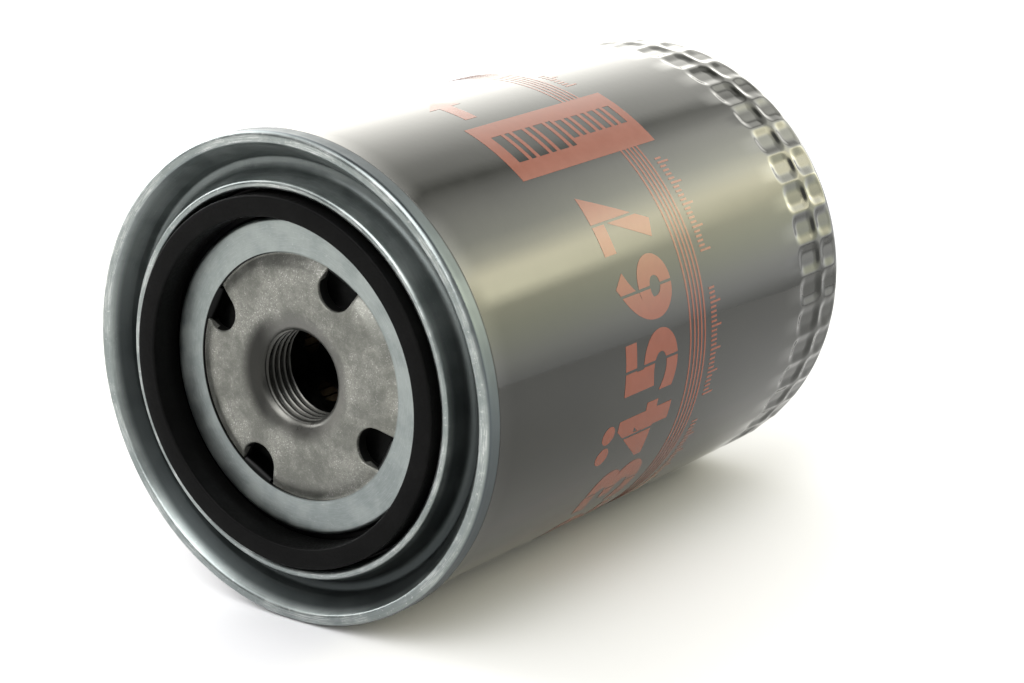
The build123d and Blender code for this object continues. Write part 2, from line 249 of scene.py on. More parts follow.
def blend_colours(tree, factor, low, high):
    """A colour between two, by a factor."""
    return add(tree, "Mix", {0: factor, 6: low, 7: high}, data_type="RGBA").outputs[2]


def ramp(tree, value, low, high, start=0.0, end=1.0):
    """The value mapped from low..high to start..end, and held there outside."""
    inputs = {0: value, 1: low, 2: high, 3: start, 4: end}
    return add(tree, "MapRange", inputs, interpolation_type="SMOOTHSTEP").outputs[0]


def zone(tree, length, low, high, start=0.0, end=1.0):
    """A ramp over a length in metres, between two places in millimetres."""
    return ramp(tree, length, low * MM, high * MM, start, end)


def towards(tree, factor, base, colour):
    """The base colour mixed towards a plain one."""
    return blend_colours(tree, factor, base, (*colour, 1))


def noise(tree, vector, scale, detail=3.0, roughness=0.55):
    """Noise between 0 and 1 at so many features a metre."""
    inputs = {"Vector": vector, "Scale": scale, "Detail": detail, "Roughness": roughness}
    return add(tree, "TexNoise", inputs).outputs[0]


def start_material(name, metallic, ior=1.5):
    """A material with a Principled shader, and its object coordinates."""
    made = bpy.data.materials.new(name)
    made.use_nodes = True
    tree = made.node_tree
    shader = tree.nodes["Principled BSDF"]
    shader.inputs["Metallic"].default_value = metallic
    shader.inputs["IOR"].default_value = ior
    place = add(tree, "TexCoord").outputs["Object"]
    return made, tree, shader, place


def about_axis(tree, place):
    """A place as x, z, radius, axial place and angle about the Y axis."""
    x, y, z = add(tree, "SeparateXYZ", {0: place}).outputs
    radius = math_node(tree, "SQRT", plus(tree, times(tree, x, x), times(tree, z, z)))
    return x, z, radius, y, math_node(tree, "ARCTAN2", z, x)


def bumped(tree, shader, height, distance, strength=1.0):
    """Adds a bump whose height is in metres."""
    inputs = {"Height": height, "Distance": distance, "Strength": strength}
    tree.links.new(add(tree, "Bump", inputs).outputs[0], shader.inputs["Normal"])


def speckled(name, dark, light, metallic, rough, scale=400.0, grain=0.00003, spread=(0.35, 0.65)):
    """A material whose colour and gloss vary with a fine and a coarse noise."""
    made, tree, shader, place = start_material(name, metallic)
    coarse = noise(tree, place, scale, 4.0)
    fine = noise(tree, place, scale * 6, 2.0)
    both = plus(tree, times(tree, coarse, 0.65), times(tree, fine, 0.35))
    colour = blend_colours(tree, ramp(tree, both, *spread), (*dark, 1), (*light, 1))
    tree.links.new(colour, shader.inputs["Base Color"])
    tree.links.new(ramp(tree, both, 0.3, 0.7, *rough), shader.inputs["Roughness"])
    bumped(tree, shader, both, grain)
    return made


def paint_material():
    """Glossy dark olive enamel with a faint orange peel."""
    made, tree, shader, place = start_material("can_enamel", 0.0)
    patches = noise(tree, place, 60.0, 3.0)
    colour = blend_colours(tree, ramp(tree, patches, 0.35, 0.65),
                           (0.0055, 0.0060, 0.0045, 1), (0.0080, 0.0085, 0.0065, 1))
    tree.links.new(colour, shader.inputs["Base Color"])
    haze = noise(tree, place, 240.0, 4.0)
    tree.links.new(ramp(tree, haze, 0.3, 0.7, 0.055, 0.10), shader.inputs["Roughness"])
    shader.inputs["Specular IOR Level"].default_value = 0.30
    peel = noise(tree, place, 700.0, 1.5)
    bumped(tree, shader, peel, 0.0000045)
    return made


def print_material(name, dark, light):
    """Screen-printed ink on the enamel."""
    made, tree, shader, place = start_material(name, 0.0)
    patches = noise(tree, place, 500.0, 4.0)
    colour = blend_colours(tree, ramp(tree, patches, 0.3, 0.7), (*dark, 1), (*light, 1))
    tree.links.new(colour, shader.inputs["Base Color"])
    tree.links.new(ramp(tree, patches, 0.3, 0.7, 0.22, 0.27), shader.inputs["Roughness"])
    shader.inputs["Specular IOR Level"].default_value = 0.30
    bumped(tree, shader, noise(tree, place, 900.0, 2.0), 0.000002)
    return made


def zinc_material():
    """Blue-grey zinc plate: satin, drawn round the axis, scuffed on its crests, with painted shade in its folds, on
    the seam's outer side and at the ring's edge.
    """
    made, tree, shader, place = start_material("zinc_sheet", 1.0)
    x, z, radius, axial, angle = about_axis(tree, place)
    drawn = add(tree, "CombineXYZ", {0: radius, 1: times(tree, angle, 0.002), 2: axial}).outputs[0]
    streaks = noise(tree, drawn, 5200.0, 3.0, 0.7)
    cloud = noise(tree, place, 130.0, 4.0, 0.6)
    flakes = noise(tree, place, 1500.0, 4.0, 0.7)
    base = blend_colours(tree, ramp(tree, cloud, 0.35, 0.65),
                         (0.205, 0.230, 0.225, 1), (0.285, 0.313, 0.304, 1))
    base = towards(tree, ramp(tree, streaks, 0.40, 0.75, 0.0, 0.25), base, (0.42, 0.45, 0.45))
    base = towards(tree, ramp(tree, flakes, 0.60, 0.74, 0.0, 0.30), base, (0.55, 0.57, 0.57))
    # Worn bright along the seam's crest.
    crest = zone(tree, axial, SEAM_CREST + 0.35, SEAM_CREST + 0.02)
    rubbed = times(tree, ramp(tree, streaks, 0.45, 0.65), ramp(tree, cloud, 0.42, 0.62))
    chipped = ramp(tree, flakes, 0.58, 0.72, 0.0, 0.5)
    worn = times(tree, crest, plus(tree, times(tree, rubbed, 0.7), chipped))
    base = towards(tree, worn, base, (0.62, 0.63, 0.62))
    # Painted shade: a darker, slightly blue base on the seam's outer side.
    skirt = times(tree, zone(tree, axial, SEAM_CREST + 0.1, SEAM_CREST + 0.8),
                  zone(tree, radius, CAN_RADIUS - 0.4, CAN_RADIUS + 0.4))
    base = towards(tree, skirt, base, (0.070, 0.082, 0.090))
    # Painted shade in the trough, most of all low down; the trough is also rougher.
    trough_shade = times(tree, zone(tree, axial, SEAM_CREST + 0.25, SEAM_CREST + 2.1),
                   zone(tree, radius, CHANNEL_OUTER + 0.9, CHANNEL_OUTER + 1.8))
    inner = times(tree, zone(tree, radius, CAN_RADIUS + 0.3, CAN_RADIUS - 0.3, 0.0, 0.90),
                  zone(tree, z, 38, -5, 0.45, 1.0))
    base = towards(tree, times(tree, trough_shade, inner), base, (0.030, 0.035, 0.036))
    # Painted shade: nearly black in the gasket's channel, and a painted shadow under the seam's foot.
    channel = times(tree, zone(tree, axial, RING_FACE + 0.15, RING_FACE + 0.5),
                    zone(tree, radius, CHANNEL_OUTER + 0.8, CHANNEL_OUTER + 0.3))
    seam_foot_shadow = times(tree, skirt, zone(tree, axial, SEAM_FOOT - 0.85, SEAM_FOOT - 0.4))
    base = towards(tree, math_node(tree, "MAXIMUM", channel, seam_foot_shadow), base, (0.012, 0.012, 0.012))
    # Painted shade on the tongues, and a painted shadow line where the ring meets the plate, darkest towards -X.
    tongue_shade = zone(tree, radius, RING_INNER + 0.05, RING_INNER - 0.15)
    base = towards(tree, tongue_shade, base, (0.03, 0.032, 0.032))
    ring_edge_shadow = times(tree, zone(tree, radius, RING_INNER + 0.34, RING_INNER + 0.16),
                    zone(tree, x, 6, -10, 0.15, 1.0))
    base = towards(tree, ring_edge_shadow, base, (0.010, 0.010, 0.010))
    tree.links.new(base, shader.inputs["Base Color"])
    rough = plus(tree, ramp(tree, cloud, 0.3, 0.7, 0.24, 0.34), times(tree, streaks, 0.10))
    rough = plus(tree, rough, times(tree, trough_shade, 0.16))
    tree.links.new(rough, shader.inputs["Roughness"])
    relief = plus(tree, streaks, times(tree, flakes, 0.8))
    bumped(tree, shader, relief, 0.000006)
    return made


def phosphate_material():
    """Warm grey phosphated plate, mottled, with bright specks, scratches, a burnished hub, and painted shade in its
    inlets and on one side of its dish.
    """
    made, tree, shader, place = start_material("phosphate_plate", 0.85)
    x, _, radius, axial, _ = about_axis(tree, place)
    cloud = noise(tree, place, 120.0, 6.0, 0.7)
    crystals = noise(tree, place, 1700.0, 4.0, 0.75)
    sparkle = noise(tree, place, 3400.0, 2.0, 0.6)
    base = blend_colours(tree, ramp(tree, cloud, 0.36, 0.64),
                         (0.140, 0.142, 0.126, 1), (0.280, 0.281, 0.252, 1))
    base = towards(tree, ramp(tree, crystals, 0.35, 0.65, 0.0, 0.55), base, (0.140, 0.141, 0.127))
    # Bright specks, most of them in the pale patches.
    patches = ramp(tree, cloud, 0.45, 0.62)
    glints = times(tree, ramp(tree, sparkle, 0.53, 0.68), plus(tree, times(tree, patches, 0.55), 0.12))
    base = towards(tree, glints, base, (0.60, 0.59, 0.56))
    # Scratches along the contour of a wandering noise.
    wander = noise(tree, place, 95.0, 5.0, 0.65)
    lines = ramp(tree, math_node(tree, "ABSOLUTE", minus(tree, wander, 0.55)), 0.006, 0.0)
    lines = times(tree, lines, ramp(tree, crystals, 0.42, 0.60))
    base = towards(tree, times(tree, lines, 0.40), base, (0.52, 0.52, 0.48))
    # A darker hub, with painted shade on the -X side of its dish.
    hub = zone(tree, radius, 13.6, 10.4)
    base = towards(tree, times(tree, hub, 0.85), base, (0.125, 0.123, 0.113))
    dish_side_shade = times(tree, zone(tree, x, -3.5, -9.5), zone(tree, radius, 14.2, 11.4))
    base = towards(tree, times(tree, dish_side_shade, 0.95), base, (0.022, 0.022, 0.020))
    # Painted shade: nearly black walls in the inlets, below the face and below its slope.
    face = zone(tree, radius, 20.9, 21.4, (PLATE_FACE + 0.45) * MM, (PLATE_FACE + 1.75) * MM)
    inlet_wall_shade = times(tree, zone(tree, minus(tree, axial, face), 0.0, 0.4), zone(tree, radius, 14.6, 15.4))
    base = towards(tree, inlet_wall_shade, base, (0.012, 0.012, 0.011))
    tree.links.new(base, shader.inputs["Base Color"])
    slope = times(tree, zone(tree, radius, 21.2, 21.9), zone(tree, radius, 24.2, 23.8))
    rough = ramp(tree, cloud, 0.3, 0.7, 0.50, 0.62)
    rough = minus(tree, rough, times(tree, hub, 0.24))
    rough = minus(tree, rough, times(tree, slope, 0.12))
    tree.links.new(rough, shader.inputs["Roughness"])
    relief = plus(tree, crystals, times(tree, cloud, 2.0))
    bumped(tree, shader, relief, 0.000012)
    return made


def rubber_material(name, tone):
    """Matt black rubber with a fine grain and a little dust."""
    made, tree, shader, place = start_material(name, 0.0)
    grain = noise(tree, place, 1800.0, 3.0)
    dust = noise(tree, place, 220.0, 5.0, 0.7)
    dark = (tone, tone, tone * 0.98, 1)
    light = (tone * 2.4, tone * 2.4, tone * 2.3, 1)
    colour = blend_colours(tree, ramp(tree, dust, 0.40, 0.75, 0.0, 0.6), dark, light)
    tree.links.new(colour, shader.inputs["Base Color"])
    tree.links.new(ramp(tree, grain, 0.3, 0.7, 0.42, 0.6), shader.inputs["Roughness"])
    shader.inputs["Specular IOR Level"].default_value = 0.06
    bumped(tree, shader, grain, 0.000012)
    return made


def paper_material():
    """Ochre filter paper with fibres and fine ribs across the pleats."""
    made, tree, shader, place = start_material("filter_paper_fibre", 0.0)
    stretched = add(tree, "Mapping", {"Vector": place, "Scale": (1.0, 0.15, 1.0)}).outputs[0]
    fibres = noise(tree, stretched, 2500.0)
    ribs = add(tree, "TexWave", {"Vector": place, "Scale": 160.0, "Distortion": 0.6},
               bands_direction="Y").outputs["Fac"]
    colour = blend_colours(tree, fibres, (0.075, 0.050, 0.022, 1), (0.14, 0.097, 0.050, 1))
    tree.links.new(colour, shader.inputs["Base Color"])
    tree.links.new(ramp(tree, fibres, 0.3, 0.7, 0.75, 0.9), shader.inputs["Roughness"])
    bumped(tree, shader, plus(tree, ribs, fibres), 0.00006)
    return made


PAINT = paint_material()
ZINC = zinc_material()
PHOSPHATE = phosphate_material()
RUBBER = rubber_material("gasket_rubber_grain", 0.0018)
INK = print_material("print_ink", (0.138, 0.028, 0.008), (0.148, 0.031, 0.010))
HIDDEN = {
    "anti_drainback_valve": rubber_material("valve_rubber_grain", 0.014),
    "bypass_seal": rubber_material("seal_rubber_grain", 0.012),
    "seam_compound": speckled("sealing_compound_grain", (0.25, 0.24, 0.2), (0.35, 0.33, 0.28), 0.0,
                              (0.5, 0.7)),
    "pleated_media": paper_material(),
}
TINNED = speckled("tinned_sheet", (0.10, 0.098, 0.092), (0.17, 0.165, 0.155), 1.0, (0.3, 0.45), 300.0,
                  0.000006)
GLUE = speckled("plastisol", (0.10, 0.12, 0.10), (0.16, 0.19, 0.16), 0.0, (0.35, 0.55), 250.0, 0.00008)
SPRING = speckled("spring_wire", (0.16, 0.16, 0.17), (0.30, 0.30, 0.31), 1.0, (0.28, 0.45), 500.0,
                  0.000006)
for node in ("front_end_cap", "rear_end_cap", "centre_tube", "media_seam_clip", "bypass_seat",
             "bypass_cage"):
    HIDDEN[node] = TINNED
for node in ("front_potting", "rear_potting"):
    HIDDEN[node] = GLUE
for node in ("bypass_poppet", "bypass_spring", "element_spring", "spring_seat"):
    HIDDEN[node] = SPRING


def finish_cad_nodes():
    """Gives the CAD nodes that stay their materials."""
    for node, material in HIDDEN.items():
        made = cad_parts[node]
        made.data.materials.clear()
        made.data.materials.append(material)


# ---------------------------------------------------------------- can

def dimple_cover(angle, axial, low, high, edge=1.4):
    """How far a point is inside the nearest dimple of a row: 0 outside, 1 on its floor."""
    pitch = 2 * math.pi / DIMPLES
    across = np.abs((angle + pitch / 2) % pitch - pitch / 2) * CAN_RADIUS
    along = np.abs(axial - (low + high) / 2)
    dx = across - (DIMPLE_HALF_WIDTH - DIMPLE_CORNER)
    dy = along - ((high - low) / 2 - DIMPLE_CORNER)
    from_core = np.hypot(np.maximum(dx, 0), np.maximum(dy, 0)) + np.minimum(np.maximum(dx, dy), 0)
    outside = from_core - DIMPLE_CORNER
    t = np.clip((edge - outside) / (2 * edge), 0, 1)
    return t * t * (3 - 2 * t)


def make_can():
    """The can's sheet: seam hook, wall, grip dimples, rounded shoulder and dome."""
    half = CAN_WALL / 2
    wall = CAN_RADIUS - half
    hook = CAN_RADIUS + SEAM_GAP + COVER_WALL + SEAM_GAP + half
    flange = SEAM_CREST + COVER_WALL + 0.3 + half
    plain_start = 5
    rear_high = WALL_END + ROWS_PAST_WALL
    rear_low = rear_high - REAR_ROW
    front_high = rear_low - ROW_GAP
    front_low = front_high - FRONT_ROW
    seam = [(hook, SEAM_FOOT - 0.75), (hook, flange), (wall, flange), (wall, plain_start)]
    outline = rounded(seam, [0.3, 0.3], 4)
    outline += subdivided([(wall, plain_start), (wall, front_low - 1)], 6.0)[1:]
    outline += subdivided([(wall, front_low - 1), (wall, WALL_END)], 0.3)[1:]
    corner = SHOULDER - half
    outline += [(CAN_RADIUS - SHOULDER + corner * math.cos(a), WALL_END + corner * math.sin(a))
                for a in np.linspace(0, DOME_TILT, 36)[1:]]
    outline += [((DOME - half) * math.cos(a), DOME_CENTRE + (DOME - half) * math.sin(a))
                for a in np.linspace(DOME_TILT, math.pi / 2, 28)[1:]]
    columns = DIMPLES * 20
    points = lathe_points(outline, columns).reshape(len(outline), columns, 3)
    angle = np.arctan2(points[..., 2], points[..., 0])
    axial = points[..., 1]
    radius = np.hypot(points[..., 0], points[..., 2])
    floor = CAN_RADIUS - DIMPLE_DEPTH - half
    cover = np.maximum(dimple_cover(angle, axial, front_low, front_high),
                       dimple_cover(angle, axial, rear_low, rear_high))
    cover = np.where((axial < DOME_TOP - 8) & (radius > CAN_RADIUS - SHOULDER / 2), cover, 0)
    pressed = radius - cover * np.maximum(radius - floor, 0)
    scale = np.where(radius > 1e-6, pressed / np.maximum(radius, 1e-6), 1)
    points[..., 0] *= scale
    points[..., 2] *= scale
    can = piece("can_shell", points.reshape(-1, 3), ring_faces(len(outline), columns), PAINT,
                replaces="can")
    return thickened(can, CAN_WALL)


# ---------------------------------------------------------------- cover

def make_cover():
    """The cover's sheet from the ring's edge out to the folded seam, with its four tongues."""
    half = COVER_WALL / 2
    step = math.radians(0.5)
    columns = 720
    skirt = SEAM_RADIUS - half
    hook = CAN_RADIUS + SEAM_GAP + half
    points = [
        (RING_INNER, RING_FACE + half),
        (CHANNEL_INNER - half, RING_FACE + half),
        (CHANNEL_INNER - half, CHANNEL_FLOOR + half),
        (CHANNEL_OUTER + half, CHANNEL_FLOOR + half),
        (CHANNEL_OUTER + half, SEAM_CREST + half),
        (CHANNEL_OUTER + half + 1.2, SEAM_CREST + half),
        (CAN_RADIUS - 6.5, CHANNEL_FLOOR + half),
        (CAN_RADIUS - 4.25, CHANNEL_FLOOR + half),
        (CAN_RADIUS - 3.4, RING_FACE),
        (CAN_RADIUS - 0.75, SEAM_CREST + half),
        (skirt, SEAM_CREST + half),
        (skirt, SEAM_FOOT - half),
        (hook, SEAM_FOOT - half),
        (hook, SEAM_CREST + COVER_WALL + 1.0),
    ]
    bends = [0.7, 0.5, 0.6, 0.6, 0.55, 1.6, 0.9, 0.7, 0.6, 0.8, 0.28, 0.28]
    outline = subdivided(rounded(points, bends, 7), 0.45)
    grid = lathe_points(outline, columns)
    faces = ring_faces(len(outline), columns)
    vertices = [tuple(v) for v in grid]
    tab_columns = 17
    tab_end = 3.0
    bend = 1.0
    path = [(RING_INNER + 0.1 - bend * math.sin(a), RING_FACE + half + bend * (1 - math.cos(a)))
            for a in np.linspace(0, math.pi / 2, 9)[1:]]
    path += subdivided([path[-1], (path[-1][0], tab_end)], 0.3)[1:]
    for inlet in INLETS:
        middle = round(inlet / step)
        edge = [(middle + j) % columns for j in range(-tab_columns, tab_columns + 1)]
        previous = edge
        outwards = np.array([math.cos(inlet), 0, math.sin(inlet)])
        sideways = np.array([-math.sin(inlet), 0, math.cos(inlet)])
        for radius, axial in path:
            row = []
            for j in range(-tab_columns, tab_columns + 1):
                offset = RING_INNER * math.sin(j * step)
                sag = RING_INNER - RING_INNER * math.cos(j * step)
                blend = max(0.0, 1 - (RING_INNER - radius) / bend)
                place = outwards * (radius - sag * blend) + sideways * offset
                row.append(len(vertices))
                vertices.append((place[0], axial, place[2]))
            for a, b, c, d in zip(previous, previous[1:], row[1:], row):
                faces.append((a, b, c, d))
            previous = row
    cover = piece("cover_sheet", vertices, faces, ZINC, replaces="cover")
    return thickened(cover, COVER_WALL)


# ---------------------------------------------------------------- base plate

def slot_distance(x, z, inlet):
    """Distance from a point to the outline of an inlet, below 0 inside it."""
    along = x * math.cos(inlet) + z * math.sin(inlet)
    across = -x * math.sin(inlet) + z * math.cos(inlet)
    low = INLET_INNER + INLET_HALF
    high = INLET_OUTER - INLET_HALF
    return np.hypot(along - np.clip(along, low, high), across) - INLET_HALF


def slot_outline(inlet, grow, count=60):
    """Points round an inlet at a distance outside its outline."""
    low = INLET_INNER + INLET_HALF
    high = INLET_OUTER - INLET_HALF
    radius = INLET_HALF + grow
    half = count // 2 - 4
    ends = [(high + radius * math.cos(a), radius * math.sin(a))
            for a in np.linspace(-math.pi / 2, math.pi / 2, half)]
    ends += [(high + (low - high) * k / 4, radius) for k in (1, 2, 3)]
    ends += [(low - radius * math.cos(a), radius * math.sin(a))
             for a in np.linspace(math.pi / 2, -math.pi / 2, half)]
    ends += [(low + (high - low) * k / 4, -radius) for k in (1, 2, 3)]
    return [(u * math.cos(inlet) - v * math.sin(inlet), u * math.sin(inlet) + v * math.cos(inlet))
            for u, v in ends]


def thread_radius(angle, axial):
    """Radius of the internal thread's surface; the thread is right-handed."""
    phase = (axial / THREAD_PITCH + angle / (2 * math.pi)) % 1.0
    crest = 0.45 / THREAD_PITCH
    root = 0.24 / THREAD_PITCH
    flank = (1 - crest - root) / 2
    from_root = np.abs(phase - 0.5) - root / 2
    t = np.clip(1 - from_root / flank, 0, 1)
    eased = t * t * (3 - 2 * t) * 0.35 + t * 0.65
    return THREAD_MINOR + (THREAD_MAJOR - THREAD_MINOR) * eased


def make_base_plate():
    """The thick pressed plate with rounded inlet edges and the threaded hub."""
    columns = 240
    inner = 14.4
    outer = 29.3
    clear_of_inlets = 0.62
    back = PLATE_FACE + PLATE_WALL
    ring_front = RING_FACE + COVER_WALL
    ring_rear = ring_front + PLATE_WALL
    front = rounded([(inner, PLATE_FACE), (PLATE_SLOPE[0], PLATE_FACE), (PLATE_SLOPE[1], ring_front),
                     (outer, ring_front)], [5.0, 0.4])
    rear = rounded([(inner, back), (22.3, back), (24.54, ring_rear), (outer, ring_rear)], [0.6, 0.8])
    rings = [inner, 15.6, 17.0, 18.4, 19.8, 20.3, *np.arange(20.7, 24.2, 0.2), 25.2, 26.4, 27.6, 28.5,
             outer]
    points = []
    for r in rings:
        for a in np.linspace(0, 2 * math.pi, columns, endpoint=False):
            x, z = r * math.cos(a), r * math.sin(a)
            if r in (inner, outer) or min(slot_distance(x, z, k) for k in INLETS) > clear_of_inlets:
                points.append((x, z))
    grows = [0.0, 0.05, 0.12, 0.22, INLET_EDGE]
    loops = []
    for inlet in INLETS:
        for grow in grows:
            outline = slot_outline(inlet, grow)
            if grow == 0.0:
                loops.append(list(range(len(points), len(points) + len(outline))))
            points += outline
    flat = geometry.delaunay_2d_cdt([Vector(p) for p in points], [], [], 0, 1e-7)
    vertices2, triangles, origin = flat[0], flat[2], flat[3]
    number = {}
    for i, sources in enumerate(origin):
        for s in sources:
            number[s] = i
    x = np.array([v[0] for v in vertices2])
    z = np.array([v[1] for v in vertices2])
    radius = np.hypot(x, z)
    near = np.min([slot_distance(x, z, k) for k in INLETS], axis=0)
    into_edge = np.clip(INLET_EDGE - near, 0, INLET_EDGE)
    drop = INLET_EDGE - np.sqrt(np.maximum(INLET_EDGE ** 2 - into_edge ** 2, 0))
    heights = np.interp(radius, *zip(*front)) + drop
    depths = np.interp(radius, *zip(*rear)) - drop
    kept = []
    for t in triangles:
        cx, cz = x[t].mean(), z[t].mean()
        beyond_hub = inner * 0.9995 < math.hypot(cx, cz)
        if beyond_hub and min(slot_distance(cx, cz, k) for k in INLETS) > 0:
            kept.append(tuple(t))
    count = len(vertices2)
    vertices = list(zip(x, heights, z)) + list(zip(x, depths, z))
    faces = kept + [(a + count, c + count, b + count) for a, b, c in kept]
    for loop in loops:
        line = [number[i] for i in loop]
        for a, b in zip(line, line[1:] + line[:1]):
            faces.append((a, b, b + count, a + count))
    hub_path = rounded(
        [(inner, PLATE_FACE), (DISH_RADIUS, PLATE_FACE), (THREAD_MINOR, PLATE_FACE + DISH_DEPTH),
         (THREAD_MINOR, HUB_END - 0.6), (THREAD_MINOR + 0.6, HUB_END), (HUB_RADIUS, HUB_END),
         (HUB_RADIUS, back), (inner, back)],
        [4.5, 2.1, 0.0, 0.0, 0.6, 1.0], 12)
    hub_path = subdivided(hub_path, 0.09)
    hub = lathe_points(hub_path, columns).reshape(len(hub_path), columns, 3)
    angle = np.arctan2(hub[..., 2], hub[..., 0])
    axial = hub[..., 1]
    plain = np.hypot(hub[..., 0], hub[..., 2])
    threaded = np.maximum(plain, thread_radius(angle, axial))
    bore = ((plain < THREAD_MAJOR + 0.2) & (axial > PLATE_FACE + THREAD_START)
            & (axial < HUB_END - 0.02))
    scale = np.where(bore, threaded, plain) / plain
    hub[..., 0] *= scale
    hub[..., 2] *= scale
    rim_front = CHANNEL_FLOOR + COVER_WALL
    rim_rear = rim_front + PLATE_WALL
    step = 29.5
    rim_path = rounded(
        [(outer, ring_front), (step, ring_front), (30.2, rim_front), (PLATE_RADIUS, rim_front),
         (PLATE_RADIUS, rim_rear), (31.7, rim_rear), (step, ring_rear), (outer, ring_rear)],
        [0.15, 0.3, 0.6, 0.6, 0.8, 0.15], 5)
    rim = lathe_points(rim_path, columns)
    for path, grid in ((hub_path, hub.reshape(-1, 3)), (rim_path, rim)):
        start = len(vertices)
        vertices += [tuple(v) for v in grid]
        faces += [tuple(start + i for i in f) for f in ring_faces(len(path), columns)]
    return piece("base_plate_pressing", vertices, faces, PHOSPHATE, sharp=50,
                 replaces="base_plate")


# ---------------------------------------------------------------- gasket

def make_gasket():
    """The square-cut rubber ring with its moulded edges."""
    soft = 0.45
    swell = 0.06
    middle = (GASKET_FACE + CHANNEL_FLOOR) / 2
    inner = GASKET_INNER + swell
    outer = GASKET_OUTER - swell
    corners = [(GASKET_INNER, middle), (inner, GASKET_FACE), (outer, GASKET_FACE), (GASKET_OUTER, middle),
               (outer, CHANNEL_FLOOR), (inner, CHANNEL_FLOOR), (GASKET_INNER, middle)]
    outline = rounded(corners, [soft, soft, 4.0, soft, soft], 6)[:-1]
    columns = 360
    return piece("gasket_ring", lathe_points(outline, columns), ring_faces(len(outline), columns, True),
                 RUBBER, replaces="gasket")


# ---------------------------------------------------------------- bypass spring

def make_bypass_spring():
    """The bypass valve's spring, a rigid copy of its CAD node in spring wire."""
    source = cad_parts["bypass_spring"]
    mesh = source.data.copy()
    mesh.transform(source.matrix_world)
    mesh.materials.clear()
    mesh.materials.append(SPRING)
    made = linked("bypass_spring_coil", mesh)
    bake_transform(made)
    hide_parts("bypass_spring")
    return made


# ---------------------------------------------------------------- print

def cut_across(work, place, tolerance):
    """Cuts every face of a flat mesh along one line across X."""
    everything = work.verts[:] + work.edges[:] + work.faces[:]
    bmesh.ops.bisect_plane(work, geom=everything, dist=tolerance, plane_co=(place, 0, 0),
                           plane_no=(1, 0, 0))


def wrapped(name, outlines, lift=0.012, wall=0.025):
    """Print on the can from (degrees, axial) outlines and meshes, cut into strips and bent round it."""
    work = bmesh.new()
    for outline in outlines:
        if isinstance(outline, bpy.types.Mesh):
            work.from_mesh(outline)
            continue
        corners = [work.verts.new((a, y, 0)) for a, y in outline]
        work.faces.new(corners)
    low = math.floor(min(v.co.x for v in work.verts))
    high = math.ceil(max(v.co.x for v in work.verts))
    for cut in range(low, high + 1):
        cut_across(work, cut, 1e-5)
    bmesh.ops.remove_doubles(work, verts=work.verts, dist=1e-4)
    for v in work.verts:
        angle = math.radians(v.co.x)
        radius = CAN_RADIUS + lift + wall / 2
        v.co = Vector((radius * math.cos(angle), v.co.y, radius * math.sin(angle))) * MM
    mesh = bpy.data.meshes.new(name)
    work.to_mesh(mesh)
    work.free()
    mesh.materials.append(INK)
    made = linked(name, mesh)
    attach(made, BODY)
    return thickened(made, wall, even=False)


def numeral(digit, middle, low, high, width):
    """A heavy stencilled digit as a flat mesh in degrees and millimetres, its top towards -Y."""
    curve = bpy.data.curves.new("digit", "FONT")
    curve.body = str(digit)
    curve.offset = 0.035
    curve.resolution_u = 10
    holder = linked("digit", curve)
    evaluated = holder.evaluated_get(bpy.context.evaluated_depsgraph_get())
    mesh = bpy.data.meshes.new_from_object(evaluated)
    bpy.data.objects.remove(holder)
    work = bmesh.new()
    work.from_mesh(mesh)
    left = min(v.co.x for v in work.verts)
    right = max(v.co.x for v in work.verts)
    foot = min(v.co.y for v in work.verts)
    top = max(v.co.y for v in work.verts)
    gap = 0.022 * (right - left)
    centre = (left + right) / 2
    for side in (-gap, gap):
        cut_across(work, centre + side, 1e-6)
    bridge = [f for f in work.faces if abs(f.calc_center_median().x - centre) < gap]
    bmesh.ops.delete(work, geom=bridge, context="FACES")
    for v in work.verts:
        across = (v.co.x - centre) / (right - left)
        upward = (v.co.y - foot) / (top - foot)
        v.co = Vector((middle + across * width, high - upward * (high - low), 0))
    work.to_mesh(mesh)
    work.free()
    return mesh


def box_outline(a0, a1, y0, y1):
    """A rectangle in degrees round the can and millimetres along it."""
    return [(a0, y0), (a1, y0), (a1, y1), (a0, y1)]


def dot_outline(angle, axial, radius):
    """A round dot."""
    round_degrees = math.degrees(radius / CAN_RADIUS)
    return [(angle + round_degrees * math.cos(t), axial + radius * math.sin(t))
            for t in np.linspace(0, 2 * math.pi, 36, endpoint=False)]


# Places of the print, in degrees round the can and millimetres along it. Each pattern comes twice, half a turn
# apart.
HALF_TURN = 180
PANEL = (50.4, 70.2)
PANEL_AXIAL = (30.3, 74.3)
PANEL_FRONT = 3.4
MARKS = (55.6, 65.2)
MARK_GAP = 1.1
STRIPES = (62.4, 63.85, 65.1, 66.35, 67.6)
STRIPE_HALF = 0.26
DIGITS = (2, 3, 4, 5, 6, 7)
DIGIT_START = -55.5
DIGIT_PITCH = 18
DIGIT_AXIAL = (40.0, 57.8)
DIGIT_WIDTH = 15.6
DOTS_AXIAL = 37.0
DOT_RADIUS = 2.0
DOT_OFFSET = 3.0
TICK_RUNS = ((-17.0, 24), (20.0, 22), (-60.0, 30), (76.0, 8))
TICK_PITCH = 1.2
TICK_WIDTH = 0.55
TICK_AXIAL = 69.9
ARROW_START = 74.0


def make_pinstripes():
    """Five fine lines round the can that stop at the two panels."""
    outlines = []
    for axial in STRIPES:
        for half in (0, 1):
            start = PANEL[1] + HALF_TURN * (half - 1)
            end = PANEL[0] + HALF_TURN * half
            outlines.append(box_outline(start, end, axial - STRIPE_HALF, axial + STRIPE_HALF))
    return wrapped("print_pinstripes", outlines)


